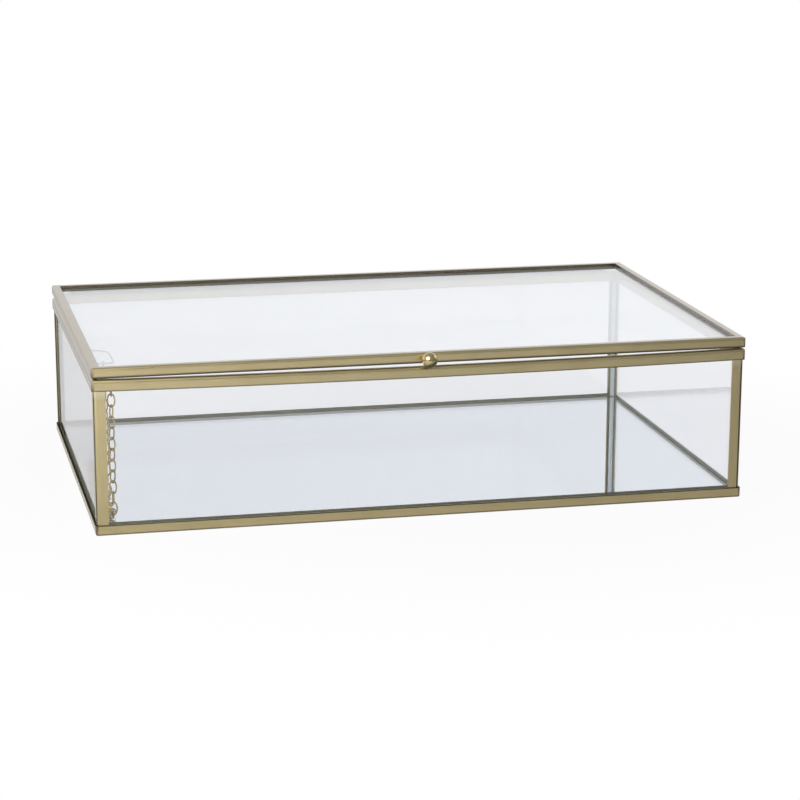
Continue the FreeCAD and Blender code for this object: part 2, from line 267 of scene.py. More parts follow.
def mitred(shape, length):
    """Saws both ends at 45 degrees, and files the outer corners round."""
    for end, way in ((0, 1), (length, -1)):
        cut_end(shape, (end + way * MITRE_GAP, 0, 0), (-way, 1, 0))
        for cut in range(1, CORNER_CUTS + 1):
            turn = math.radians(MITRE_ANGLE * cut / CORNER_CUTS)
            lean = Vector((-way * math.sin(turn), -math.cos(turn), 0))
            middle = Vector((end + way * CORNER_RADIUS, CORNER_RADIUS, 0))
            cut_end(shape, middle + lean * CORNER_RADIUS, lean)


def keep_strip(shape):
    """Remembers each point's place along and round the strip before the strip is set in its place."""
    strip = shape.verts.layers.float_vector.new("strip")
    for vert in shape.verts:
        vert[strip] = vert.co


def stand(shape, name, materials, body, slot, *nodes):
    """Makes a finished shape a piece on its body, in the place of its plain solids."""
    bmesh.ops.recalc_face_normals(shape, faces=shape.faces[:])
    mesh = bpy.data.meshes.new(name)
    shape.to_mesh(mesh)
    shape.free()
    for material in materials:
        mesh.materials.append(material)
    mesh.shade_smooth()
    mesh.set_sharp_from_angle(angle=math.radians(SHARP_ANGLE))
    piece = bpy.data.objects.new(name, mesh)
    bpy.context.scene.collection.objects.link(piece)
    flats = piece.modifiers.new("flat_faces", "WEIGHTED_NORMAL")
    flats.keep_sharp = True
    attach(piece, body)
    if nodes:
        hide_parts(*nodes)


def rail(name, profile, painted_shade_and_dark_rim, side, level, body, node, rise=None):
    """One mitred strip of a frame, darkened where its painted shade and dark rim marks say, and bent up
    along its length by rise.
    """
    corner_x, corner_y, length, turn = SIDES[side]
    strip = folded_strip(profile, length)
    for spot, way, fade in painted_shade_and_dark_rim:
        mark_beyond(strip, "painted_shade_and_dark_rim", spot, way, fade)
    bare_where_darkened(strip)
    mitred(strip, length)
    if rise:
        for step in range(1, RISE_STEPS):
            split(strip, (length * step / RISE_STEPS, 0, 0), (1, 0, 0))
        for vert in strip.verts:
            vert.co.z += rise(vert.co.x / length)
    keep_strip(strip)
    bmesh.ops.rotate(strip, verts=strip.verts[:], matrix=Matrix.Rotation(math.radians(turn), 3, "Z"))
    bmesh.ops.translate(strip, verts=strip.verts[:], vec=(corner_x, corner_y, level))
    stand(strip, name, [frame_brass, bare_shade_and_rim_brass], body, "frame_brass", node)


def angle_profile(flange, wall):
    """The section of a strip folded to an angle: a flat flange and an upright wall."""
    return [
        (0, 0, BEND_RADIUS),
        (flange, 0, EDGE_RADIUS),
        (flange, GAUGE, EDGE_RADIUS),
        (GAUGE, GAUGE, BEND_RADIUS - GAUGE),
        (GAUGE, wall, EDGE_RADIUS),
        (0, wall, EDGE_RADIUS),
    ]


UP = (0, 0, 1)
DOWN = (0, 0, -1)
INWARD = (0, 1, 0)
OUT_AND_DOWN = (0, -0.7071, -0.7071)
BEND_PAINTED_SHADE = 1.3 * MM
BOTTOM_DARK_RIM = 0.5 * MM
DARK_MARK_FADE = 0.3 * MM
bottom_profile = angle_profile(BOTTOM_FLANGE, BOTTOM_WALL)
# The first mark is painted shade along the lower outer bend; the second darkens the top edge of the wall.
bottom_shade_and_dark_rim = [
    ((0, 0, BEND_PAINTED_SHADE), OUT_AND_DOWN, DARK_MARK_FADE),
    ((0, 0, BOTTOM_WALL - BOTTOM_DARK_RIM), UP, DARK_MARK_FADE),
]
for side in SIDES:
    rail(f"bottom_strip_{side}", bottom_profile, bottom_shade_and_dark_rim, side, 0, "case", f"bottom_rail_{side}")

# Backing sheet: a soft card glued under the mirror, so that the silvering does not rub on the flanges.
# It shows only from below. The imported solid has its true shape, so only its finish is made here.
USUAL_DETAIL = 2.0


def cloudy(
    name,
    tones,
    scale,
    roughness,
    detail=USUAL_DETAIL,
    span=(0, 1),
    metallic=0.0,
    relief=0.0,
    depth=0.0,
):
    """A finish of two tones that mingle in clouds, and a grain where relief and depth are given."""
    material, tree, shader = new_finish(name)
    pattern = clouds(tree, scale, detail)
    finish = {
        "Base Color": two_tones(tree, pattern, *tones, span),
        "Metallic": metallic,
        "Roughness": roughness,
    }
    feed(tree, shader, finish)
    if relief:
        grain(tree, shader, pattern, relief, depth)
    return material


backing = cloudy(
    "backing_card",
    tones=((0.05, 0.052, 0.05), (0.16, 0.165, 0.16)),
    scale=900.0,
    roughness=0.95,
    detail=6.0,
    relief=0.5,
    depth=0.1 * MM,
)
backing_node = frame["nodes"]["backing_sheet"]
backing_node.data.materials.clear()
backing_node.data.materials.append(backing)

# Mirror floor: a plate of 3.3 mm float glass, silvered underneath, with ground edges that look dark
# green. The panes stand on its rim, so the thickness of the glass shows as a dark line along each side.
PLATE_CHAMFER = 0.15 * MM
REST_GAP = 0.04 * MM
FACING = 0.99
X_AXIS, Y_AXIS, Z_AXIS = 0, 1, 2
POLISHED, GROUND, SILVERED = 0, 1, 2


def combine(tree, operation, one, other):
    """One number of a finish worked out from two others."""
    return add_step(tree, "ShaderNodeMath", {0: one, 1: other}, operation=operation).outputs["Value"]


def blend_shaders(tree, share, one, other):
    """Lets a material show one shader, and by a share the other in its place."""
    mix = add_step(tree, "ShaderNodeMixShader", {"Fac": share, 1: one, 2: other})
    feed(tree, tree.nodes["Material Output"], {"Surface": mix.outputs["Shader"]})


def clear_glass(name, tint, dust=0.0, film=0.0):
    """Polished glass with faint smears; lamps shine straight through it. Dust shows as a veil at low
    angles, and a film gives a brighter glance."""
    material, tree, shader = new_finish(name)
    smears = clouds(tree, scale=38.0, detail=3.0)
    finish = {
        "Base Color": (*tint, 1),
        "Roughness": change(tree, smears, over=(0.45, 0.8), gives=(0.0, 0.02)),
        "IOR": 1.5,
        "Transmission Weight": 1.0,
        "Coat Weight": film,
        "Coat Roughness": 0.02,
        "Coat IOR": 1.7,
        "Sheen Weight": dust,
        "Sheen Roughness": 0.35,
        "Sheen Tint": (0.82, 0.83, 0.86, 1),
    }
    feed(tree, shader, finish)
    through = add_step(tree, "ShaderNodeBsdfTransparent", {"Color": (*tint, 1)})
    path = add_step(tree, "ShaderNodeLightPath", {})
    lit = combine(tree, "MAXIMUM", path.outputs["Is Shadow Ray"], path.outputs["Is Diffuse Ray"])
    blend_shaders(tree, lit, shader.outputs["BSDF"], through.outputs["BSDF"])
    return material


pane_glass = clear_glass("clear_glass", (0.945, 0.95, 0.965))
edge_glass = cloudy(
    "ground_glass_edge",
    tones=((0.14, 0.14, 0.09), (0.24, 0.235, 0.155)),
    scale=1400.0,
    roughness=0.45,
    detail=4.0,
    span=(0.3, 0.7),
    relief=0.3,
    depth=0.05 * MM,
)
silvering = cloudy(
    "mirror_silver",
    tones=((0.98, 0.995, 0.985), (0.99, 1.0, 0.995)),
    scale=12.0,
    roughness=0.0,
    metallic=1.0,
)


def block(size, middle, rounding, steps):
    """A plain block with its edges taken off."""
    shape = bmesh.new()
    bmesh.ops.create_cube(shape, size=1)
    bmesh.ops.scale(shape, verts=shape.verts[:], vec=size)
    bmesh.ops.translate(shape, verts=shape.verts[:], vec=middle)
    bmesh.ops.bevel(
        shape,
        geom=shape.edges[:],
        offset=rounding,
        segments=steps,
        profile=0.5,
        affect="EDGES",
        material=-1,
    )
    return shape


def plate(low, high, thin):
    """A chamfered sheet of glass, polished on the two faces across its thin axis, ground elsewhere."""
    shape = block(high - low, (low + high) / 2, PLATE_CHAMFER, 1)
    shape.normal_update()
    for face in shape.faces:
        face.material_index = POLISHED if abs(face.normal[thin]) > FACING else GROUND
    return shape


mirror_low, mirror_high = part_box("mirror_floor")
mirror_plate = plate(mirror_low + Vector((0, 0, REST_GAP)), mirror_high, Z_AXIS)
for face in mirror_plate.faces:
    if face.normal.z < -FACING:
        face.material_index = SILVERED
mirror_glass = [pane_glass, edge_glass, silvering]
stand(mirror_plate, "mirror_plate", mirror_glass, "case", "mirror", "mirror_floor")

# Corner posts: four strips of the same brass folded to an angle, standing inside the bottom rails'
# walls. Their feet are soldered to the flanges, and the top rails over their heads. Each has painted
# shade as a dark line along its outer bend, and the back left one has painted shade all over its left side.
POST_FLANGE = 5.5 * MM
SOLDER_BAND = 3.0 * MM
POST_LINE = 1.5 * MM
POST_LINE_WAY = (0, -0.9, -0.436)
POST_LINE_FADE = 0.06 * MM
SHADED_SIDE_DEPTH = 0.6 * MM
SHADED_SIDE_FADE = 0.2 * MM
UPRIGHT = Matrix(((0, 1, 0), (0, 0, 1), (1, 0, 0)))
post_profile = angle_profile(POST_FLANGE, POST_FLANGE)
top_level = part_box("top_rail_front")[0].z


def corners_of(left_x, right_x, front_y, back_y):
    """The four corners of a frame, each with the turn of what stands in it."""
    return {
        "front_left": (left_x, front_y, 0),
        "front_right": (right_x, front_y, 90),
        "back_right": (right_x, back_y, 180),
        "back_left": (left_x, back_y, 270),
    }


def set_upright(strip, corner_x, corner_y, foot, turn):
    """Stands a strip on its end in a corner."""
    upright = Matrix.Rotation(math.radians(turn), 3, "Z") @ UPRIGHT
    bmesh.ops.transform(strip, verts=strip.verts[:], matrix=upright.to_4x4())
    bmesh.ops.translate(strip, verts=strip.verts[:], vec=(corner_x, corner_y, foot))


post_corners = corners_of(left + GAUGE, right - GAUGE, front + GAUGE, back - GAUGE)
for corner, (corner_x, corner_y, turn) in post_corners.items():
    foot, head = (spot.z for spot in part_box(f"post_{corner}"))
    post = folded_strip(post_profile, head - foot)
    mark_beyond(post, "solder", (top_level - foot - SOLDER_BAND, 0, 0), (1, 0, 0), SOLDER_BAND)
    # Painted shade: a dark line along the outer bend, and on the back left post its whole left side.
    mark_beyond(post, "painted_shade_and_dark_rim", (0, 0, POST_LINE), POST_LINE_WAY, POST_LINE_FADE)
    if corner == "back_left":
        mark_beyond(post, "painted_shade_and_dark_rim", (0, 0, SHADED_SIDE_DEPTH), DOWN, SHADED_SIDE_FADE)
    bare_where_darkened(post)
    keep_strip(post)
    set_upright(post, corner_x, corner_y, foot, turn)
    post_brass = [frame_brass, bare_shade_and_rim_brass]
    stand(post, f"corner_post_{corner}", post_brass, "case", "frame_brass", f"post_{corner}")

# Panes: four sheets of 2 mm clear glass, ground at top and bottom, standing on the mirror inside the
# posts. The front and back ones run the full width, and the side ones stand between them. Their lowest
# 0.9 mm has the dark finish of the ground edges, a dark line along each foot. A pale bead of clear glue
# seals each inside corner.
DARK_FOOT_LINE = 0.9 * MM
LEANING = 0.1
THIN_WAY = {"front": Y_AXIS, "back": Y_AXIS, "left": X_AXIS, "right": X_AXIS}
for side, thin in THIN_WAY.items():
    low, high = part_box(f"pane_{side}")
    play = Vector((REST_GAP, REST_GAP, REST_GAP))
    pane = plate(low + play, high - play, thin)
    dark_foot_top = low + Vector((0, 0, DARK_FOOT_LINE))
    split(pane, dark_foot_top, UP)
    for face in pane.faces:
        above = face.calc_center_median().z > dark_foot_top.z
        upright = abs(face.normal.z) < LEANING
        face.material_index = POLISHED if above and upright else GROUND
    stand(pane, f"glass_pane_{side}", [pane_glass, edge_glass], "case", "pane_glass", f"pane_{side}")

BEAD = 1.7 * MM
BEAD_HOLLOW = 0.32 * BEAD
BEAD_RADIUS = 0.4 * BEAD
glue = cloudy(
    "clear_glue",
    tones=((0.5, 0.55, 0.56), (0.66, 0.71, 0.7)),
    scale=160.0,
    roughness=0.3,
)
bead_profile = [(0, 0, 0), (BEAD, 0, 0), (BEAD_HOLLOW, BEAD_HOLLOW, BEAD_RADIUS), (0, BEAD, 0)]
bead_corners = corners_of(
    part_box("pane_left")[1].x,
    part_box("pane_right")[0].x,
    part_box("pane_front")[1].y,
    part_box("pane_back")[0].y,
)
for corner, (corner_x, corner_y, turn) in bead_corners.items():
    bead = folded_strip(bead_profile, top_level - mirror_high.z)
    set_upright(bead, corner_x, corner_y, mirror_high.z, turn)
    stand(bead, f"glue_bead_{corner}", [glue], "case", "pane_glass")

# Top rails: channel strips of the same brass, open downwards, set over the posts and the panes' upper
# edges. The front one was pressed down a little in its middle, so the slit under the lid is widest there,
# and the side ones slope up to its ends.
TOP_WALL = 5.2 * MM
TOP_LIP = 5.0 * MM
TOP_WIDTH = 4.1 * MM
TOP_DARK_RIM = 0.8 * MM
TOP_DARK_RIM_FADE = 0.6 * MM
CORNER_RISE = 1.05 * MM
top_profile = [
    (0, 0, EDGE_RADIUS),
    (GAUGE, 0, EDGE_RADIUS),
    (GAUGE, TOP_WALL - GAUGE, BEND_RADIUS - GAUGE),
    (TOP_WIDTH - GAUGE, TOP_WALL - GAUGE, BEND_RADIUS - GAUGE),
    (TOP_WIDTH - GAUGE, TOP_WALL - TOP_LIP, EDGE_RADIUS),
    (TOP_WIDTH, TOP_WALL - TOP_LIP, EDGE_RADIUS),
    (TOP_WIDTH, TOP_WALL, BEND_RADIUS),
    (0, TOP_WALL, BEND_RADIUS),
]
# A darker band along the lower edge of the outer wall.
top_dark_rim = [((0, 0, TOP_DARK_RIM), DOWN, TOP_DARK_RIM_FADE)]
TOP_RISES = {
    "front": lambda along: CORNER_RISE * (2 * along - 1) ** 2,
    "right": lambda along: CORNER_RISE * (1 - along),
    "back": None,
    "left": lambda along: CORNER_RISE * along,
}
for side, rise in TOP_RISES.items():
    rail(f"top_strip_{side}", top_profile, top_dark_rim, side, top_level, "case", f"top_rail_{side}", rise)

# Lid rails: brass channel strips open inwards, folded round the edge of the lid glass and mitred at the
# corners. The upper flange has a small lip turned down on the glass.
UPPER_BEND = 1.25 * MM
LID_HEM = 0.9 * MM
LID_LIP = 0.45 * MM
LID_GAUGE = 1.0 * MM
LID_FLANGE = 4.0 * MM
LID_BEND_PAINTED_SHADE = 1.5 * MM
LID_BEND_FADE = 0.35 * MM
LID_DARK_RIM = 0.4 * MM
LID_RIM_FADE = 0.44 * MM
lid_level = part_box("lid_rail_front")[0].z
lid_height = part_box("lid_rail_front")[1].z - lid_level
lid_profile = [
    (0, 0, BEND_RADIUS),
    (LID_FLANGE, 0, EDGE_RADIUS),
    (LID_FLANGE, LID_GAUGE, EDGE_RADIUS),
    (LID_GAUGE, LID_GAUGE, BEND_RADIUS - LID_GAUGE),
    (LID_GAUGE, lid_height - LID_GAUGE, UPPER_BEND - LID_GAUGE),
    (LID_FLANGE - LID_HEM, lid_height - LID_GAUGE, EDGE_RADIUS),
    (LID_FLANGE - LID_HEM, lid_height - LID_GAUGE - LID_LIP, EDGE_RADIUS),
    (LID_FLANGE, lid_height - LID_GAUGE - LID_LIP, EDGE_RADIUS),
    (LID_FLANGE, lid_height, EDGE_RADIUS),
    (0, lid_height, UPPER_BEND),
]
# The first mark is painted shade on the lower outer bend; the second darkens the inner edges of the
# flanges.
lid_shade_and_dark_rim = [
    ((0, 0, LID_BEND_PAINTED_SHADE), OUT_AND_DOWN, LID_BEND_FADE),
    ((0, LID_FLANGE - LID_DARK_RIM, 0), INWARD, LID_RIM_FADE),
]
for side in SIDES:
    rail(f"lid_strip_{side}", lid_profile, lid_shade_and_dark_rim, side, lid_level, "lid", f"lid_rail_{side}")

# Lid glass: one sheet of 3 mm clear glass with ground edges, held in the lid rails' channels. Lying flat,
# it carries dust and a thin film, which show as a pale veil and a brighter glance at low angles.
lid_clear = clear_glass("lid_clear_glass", (0.95, 0.955, 0.968), dust=0.6, film=1.0)
lid_low, lid_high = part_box("lid_glass")
under_lip = lid_high - Vector((0, 0, REST_GAP + LID_LIP))
lid_pane = plate(lid_low + Vector((0, 0, REST_GAP)), under_lip, Z_AXIS)
stand(lid_pane, "lid_pane", [lid_clear, edge_glass], "lid", "lid_glass", "lid_glass")

# Hinge: thin brass leaves rolled round one long wire pin. Two leaves are soldered under the lid's back
# rail and two on the case's back rail, one after another along the pin, with a gap between neighbours.
PIN_RADIUS = 0.6 * MM
PIN_SIDES = 24
PIN_ROUNDING = 0.15 * MM
KNUCKLE_RADIUS = 1.2 * MM
KNUCKLE_BORE = 0.65 * MM
LEAF_THICKNESS = 0.5 * MM
LEAF_ROUNDING = 0.12 * MM
ROLL_START = math.radians(156)
ROLL_TURN = math.radians(322)
ROLL_STEPS = 36
ROUNDING_STEPS = 2
WELD_DISTANCE = 1e-7
LEAVES = {"lid_left": "lid", "lid_right": "lid", "case_middle": "case", "case_right": "case"}
hinge_brass = brass(
    "rolled_brass",
    bright=(0.55, 0.445, 0.22),
    dull=(0.46, 0.37, 0.18),
    smooth=0.26,
    rough=0.38,
    streak_scale=(90, 1500, 1500),
    lacquer=0.5,
)
pin_low, pin_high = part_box("hinge_pin")
pin_line = (pin_low + pin_high) / 2


def rolled_leaf(name, node, body):
    """A flat leaf with its back edge rolled nearly all round the pin: over it on the lid, else under it."""
    low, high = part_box(node)
    flip = 1 if body == "lid" else -1
    leaf_low = lid_level - LEAF_THICKNESS if body == "lid" else top_level + TOP_WALL
    leaf_size = Vector((high.x - low.x, pin_line.y - KNUCKLE_BORE - low.y, LEAF_THICKNESS))
    leaf_middle = Vector(((low.x + high.x) / 2, low.y + leaf_size.y / 2, leaf_low + LEAF_THICKNESS / 2))
    leaf = block(leaf_size, leaf_middle, LEAF_ROUNDING, ROUNDING_STEPS)
    sheet = [
        (low.x, KNUCKLE_BORE),
        (high.x, KNUCKLE_BORE),
        (high.x, KNUCKLE_RADIUS),
        (low.x, KNUCKLE_RADIUS),
    ]
    start_y = math.cos(ROLL_START)
    start_z = flip * math.sin(ROLL_START)
    spots = [(x, pin_line.y + reach * start_y, pin_line.z + reach * start_z) for x, reach in sheet]
    section = leaf.faces.new([leaf.verts.new(spot) for spot in spots])
    bmesh.ops.spin(
        leaf,
        geom=[section],
        cent=pin_line,
        axis=(1, 0, 0),
        angle=-flip * ROLL_TURN,
        steps=ROLL_STEPS,
        use_merge=False,
        use_duplicate=False,
    )
    keep_strip(leaf)
    stand(leaf, name, [hinge_brass], body, "hinge_brass", node)


def wire_ring(shape, spot, radius, sides, closed=False):
    """The round section of a wire, facing along X."""
    ring = bmesh.ops.create_circle(shape, segments=sides, radius=radius, cap_ends=closed)["verts"]
    bmesh.ops.rotate(shape, verts=ring, matrix=Matrix.Rotation(math.radians(90), 3, "Y"))
    bmesh.ops.translate(shape, verts=ring, vec=spot)
    return ring


for place, body in LEAVES.items():
    rolled_leaf(f"rolled_leaf_{place}", f"hinge_leaf_{place}", body)
pin = bmesh.new()
wire_ring(pin, (pin_low.x, pin_line.y, pin_line.z), PIN_RADIUS, PIN_SIDES, closed=True)
draw_out(pin, pin_high.x - pin_low.x)
pin_rims = [edge for edge in pin.edges if abs(edge.verts[0].co.x - edge.verts[1].co.x) < WELD_DISTANCE]
bmesh.ops.bevel(
    pin,
    geom=pin_rims,
    offset=PIN_ROUNDING,
    segments=ROUNDING_STEPS,
    profile=0.5,
    affect="EDGES",
    material=-1,
)
keep_strip(pin)
stand(pin, "hinge_wire", [hinge_brass], "case", "hinge_brass", "hinge_pin")

# Knob: a turned and polished brass ball on a short stud, with a thin collar against the lid's front rail.
# The ball's underside, towards the lower right, carries painted shade.
BALL_RADIUS = 3.5 * MM
BALL_STEPS = 48
ARC_STEPS = 26
BALL_PAINTED_SHADE_DROP = 0.3 * MM
BALL_PAINTED_SHADE_WAY = (0.4, 0, -0.917)
BALL_PAINTED_SHADE_FADE = 1.0 * MM
STUD_RADIUS = 1.1 * MM
STUD_STEPS = 32
STUD_INSET = 1.6 * MM
STUD_FILLET = 0.25 * MM
COLLAR_RADIUS = 1.8 * MM
COLLAR_THICKNESS = 0.6 * MM
COLLAR_CHAMFER = 0.15 * MM
knob_brass = brass(
    "polished_brass",
    bright=(0.70, 0.57, 0.29),
    dull=(0.62, 0.50, 0.25),
    smooth=0.13,
    rough=0.19,
    streak_scale=(300, 3000, 300),
    lacquer=0.2,
)
ball_low, ball_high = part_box("knob_ball")
ball_middle = Vector((0, ball_low.y + BALL_RADIUS, (ball_low.z + ball_high.z) / 2))


def turn_on_lathe(shape, steps):
    """Turns an outline about the knob's axis, and welds it closed."""
    bmesh.ops.spin(
        shape,
        geom=shape.verts[:] + shape.edges[:],
        cent=ball_middle,
        axis=(0, 1, 0),
        angle=2 * math.pi,
        steps=steps,
        use_merge=True,
    )
    bmesh.ops.remove_doubles(shape, verts=shape.verts[:], dist=WELD_DISTANCE)


ball = bmesh.new()
ball_pole = ball.verts.new(ball_middle - Vector((0, BALL_RADIUS, 0)))
neck_angle = math.pi - math.asin(STUD_RADIUS / BALL_RADIUS)
bmesh.ops.spin(
    ball,
    geom=[ball_pole],
    cent=ball_middle,
    axis=(1, 0, 0),
    angle=-neck_angle,
    steps=ARC_STEPS,
    use_merge=False,
)
turn_on_lathe(ball, BALL_STEPS)
ball_rim = [edge for edge in ball.edges if edge.is_boundary]
bmesh.ops.holes_fill(ball, edges=ball_rim, sides=0)
# Painted shade on the ball's underside, towards the lower right.
ball_shade = ball_middle - Vector((0, 0, BALL_PAINTED_SHADE_DROP))
mark_beyond(ball, "painted_shade_and_dark_rim", ball_shade, BALL_PAINTED_SHADE_WAY, BALL_PAINTED_SHADE_FADE)
keep_strip(ball)
stand(ball, "polished_ball", [knob_brass], "lid", "knob_brass", "knob_ball")

stud = bmesh.new()
stud_end = ball_middle.y + STUD_INSET
collar_face = front - COLLAR_THICKNESS
stud_outline = [
    (stud_end, 0),
    (stud_end, STUD_RADIUS),
    (collar_face - STUD_FILLET, STUD_RADIUS),
    (collar_face, STUD_RADIUS + STUD_FILLET),
    (collar_face, COLLAR_RADIUS - COLLAR_CHAMFER),
    (collar_face + COLLAR_CHAMFER, COLLAR_RADIUS),
    (front, COLLAR_RADIUS),
    (front, 0),
]
stud_spots = [stud.verts.new((0, y, ball_middle.z + reach)) for y, reach in stud_outline]
for near, far in zip(stud_spots, stud_spots[1:]):
    stud.edges.new((near, far))
turn_on_lathe(stud, STUD_STEPS)
keep_strip(stud)
stand(stud, "turned_stud", [knob_brass], "lid", "knob_brass", "knob_stud")

# Chain staples: loops of brass wire soldered on at the left, one to the top rail's lip and one under the
# lid. A bead of solder holds each leg where it meets the strip.
WIRE_RADIUS = 0.35 * MM
WIRE_SIDES = 10
NEAR_STEPS = 8
FAR_STEPS = 10
SOLDER_RADIUS = 0.75 * MM
SOLDER_SPREAD = (1.1, 1.0, 0.75)
SOLDER_OFFSET = 0.55 * MM
LID_SEAT = 1.5 * MM
chain_brass = brass(
    "drawn_brass",
    bright=(0.60, 0.48, 0.21),
    dull=(0.40, 0.315, 0.13),
    smooth=0.14,
    rough=0.24,
    streak_scale=(900, 900, 900),
    lacquer=0.0,
)
pivots = {joint["name"]: Vector(joint["pos_m"]) for joint in frame["joints"]}
case_eye = pivots["chain_case_swing"]
lid_eye = pivots["chain_lid_swing"]


def ring_edges(ring):
    """The edges between the points of one ring, each once."""
    held = set(ring)
    beside = [edge for vert in ring for edge in vert.link_edges]
    return list(dict.fromkeys(edge for edge in beside if held.issuperset(edge.verts)))


def draw_on(shape, ring, run):
    """Draws the wire straight on from a ring, and gives the ring at its new end."""
    far = points(bmesh.ops.extrude_edge_only(shape, edges=ring_edges(ring))["geom"])
    bmesh.ops.translate(shape, verts=far, vec=run)
    return far


def bend_on(shape, ring, centre, angle, steps):
    """Bends the wire on from a ring about an upright axis, and gives the ring at its new end."""
    bend = bmesh.ops.spin(
        shape,
        geom=ring + ring_edges(ring),
        cent=centre,
        axis=(0, 0, 1),
        angle=angle,
        steps=steps,
        use_merge=False,
        use_duplicate=False,
    )
    return points(bend["geom_last"])


def wire_staple(name, node, body, seat, reach, span, near_bend, far_bend):
    """Two legs along X joined by a crossbar, with round bends and solder at the feet."""
    wire = bmesh.new()
    way = math.copysign(1, span)
    quarter = way * math.pi / 2
    start = wire_ring(wire, seat, WIRE_RADIUS, WIRE_SIDES)
    ring = draw_on(wire, start, (reach - near_bend, 0, 0))
    near_centre = seat + Vector((reach - near_bend, way * near_bend, 0))
    ring = bend_on(wire, ring, near_centre, quarter, NEAR_STEPS)
    ring = draw_on(wire, ring, (0, span - way * (near_bend + far_bend), 0))
    far_centre = seat + Vector((reach - far_bend, span - way * far_bend, 0))
    ring = bend_on(wire, ring, far_centre, quarter, FAR_STEPS)
    ring = draw_on(wire, ring, (far_bend - reach, 0, 0))
    for end in (start, ring):
        bmesh.ops.contextual_create(wire, geom=ring_edges(end))
    for foot in (seat, seat + Vector((0, span, 0))):
        solder = bmesh.ops.create_uvsphere(wire, u_segments=14, v_segments=8, radius=SOLDER_RADIUS)
        bead = solder["verts"]
        bmesh.ops.scale(wire, verts=bead, vec=SOLDER_SPREAD)
        bmesh.ops.translate(wire, verts=bead, vec=foot + Vector((SOLDER_OFFSET, 0, 0)))
    keep_strip(wire)
    stand(wire, name, [chain_brass], body, "chain_wire", node)


wire_staple(
    "wire_staple_case",
    "case_chain_staple",
    "case",
    seat=Vector((left + TOP_WIDTH, case_eye.y, case_eye.z)),
    reach=7.6 * MM,
    span=-4.5 * MM,
    near_bend=1.4 * MM,
    far_bend=1.4 * MM,
)
wire_staple(
    "wire_staple_lid",
    "lid_chain_staple",
    "lid",
    seat=Vector((left + LID_SEAT, lid_eye.y, lid_eye.z)),
    reach=11.5 * MM,
    span=27.0 * MM,
    near_bend=2.0 * MM,
    far_bend=7.5 * MM,
)

# Stay chain: oval links of brass wire, closed and soldered, every second one lying across its neighbours.
# It hangs from both staples to the floor, lies there slack while the lid is shut, and holds the open lid.
LINK_WIDTH = 4.0 * MM
LINK_PLAY = 0.1 * MM
END_RADIUS = 1.25 * MM
END_STEPS = 10
SIDE_STEPS = 8
DROP_LINKS = 12
RUN_LINKS = {"case": 16, "lid": 13}
DROP_TWIST = 45
TWIST_LINKS = 3
FOLD_X = -141.2 * MM
PITCH = (case_eye.z - pivots["chain_case_fold"].z) / DROP_LINKS
FIRST_REACH = PITCH / 2 - LINK_PLAY - WIRE_RADIUS
side_reach = LINK_WIDTH / 2 - WIRE_RADIUS
end_centre = PITCH / 2 + LINK_PLAY + WIRE_RADIUS - END_RADIUS
bulge = side_reach - END_RADIUS
side_centre = (end_centre**2 - bulge**2) / (2 * bulge)
side_turn = 2 * math.atan2(end_centre, side_centre)
end_turn = math.pi - side_turn
link_bends = [
    ((0, side_centre, 0), side_turn / 2, SIDE_STEPS // 2),
    ((end_centre, 0, 0), end_turn, END_STEPS),
    ((0, -side_centre, 0), side_turn, SIDE_STEPS),
    ((-end_centre, 0, 0), end_turn, END_STEPS),
    ((0, side_centre, 0), side_turn / 2, SIDE_STEPS // 2),
]
one_link = bmesh.new()
link_ring = wire_ring(one_link, Vector((0, -side_reach, 0)), WIRE_RADIUS, WIRE_SIDES)
for centre, turn, steps in link_bends:
    link_ring = bend_on(one_link, link_ring, centre, turn, steps)
bmesh.ops.remove_doubles(one_link, verts=one_link.verts[:], dist=WELD_DISTANCE)
link_mesh = bpy.data.meshes.new("one_link")
one_link.to_mesh(link_mesh)
one_link.free()


def chain_stretch(half, stretch, pivot, heading, count, drift, twist):
    """A straight stretch of links from a pivot, twisted away from its two ends. Gives its far end."""
    links = bmesh.new()
    across_x = Vector((1, 0, 0))
    for step in range(count):
        links.from_mesh(link_mesh)
        links.verts.ensure_lookup_table()
        link = links.verts[-len(link_mesh.vertices):]
        from_end = min(step, count - 1 - step)
        lean = math.radians(twist * min(1, from_end / TWIST_LINKS))
        across = heading.cross(across_x) if step % 2 == 0 else across_x
        across = Matrix.Rotation(lean, 3, heading) @ across
        turn = Matrix((heading, across, heading.cross(across))).transposed().to_4x4()
        spot = pivot + heading * (FIRST_REACH + step * PITCH) + across_x * (drift * (step + 1))
        bmesh.ops.transform(links, matrix=Matrix.Translation(spot) @ turn, verts=link)
    keep_strip(links)
    name = f"chain_{half}_{stretch}"
    stand(links, f"oval_links_{half}_{stretch}", [chain_brass], name, "chain_wire", name)
    return pivot + heading * (count * PITCH) + across_x * (drift * count)


for half, eye in (("case", case_eye), ("lid", lid_eye)):
    drift = (FOLD_X - eye.x) / (DROP_LINKS + RUN_LINKS[half])
    elbow = chain_stretch(half, "drop", eye, Vector((0, 0, -1)), DROP_LINKS, drift, DROP_TWIST)
    chain_stretch(half, "run", elbow, Vector((0, 1, 0)), RUN_LINKS[half], drift, 0)

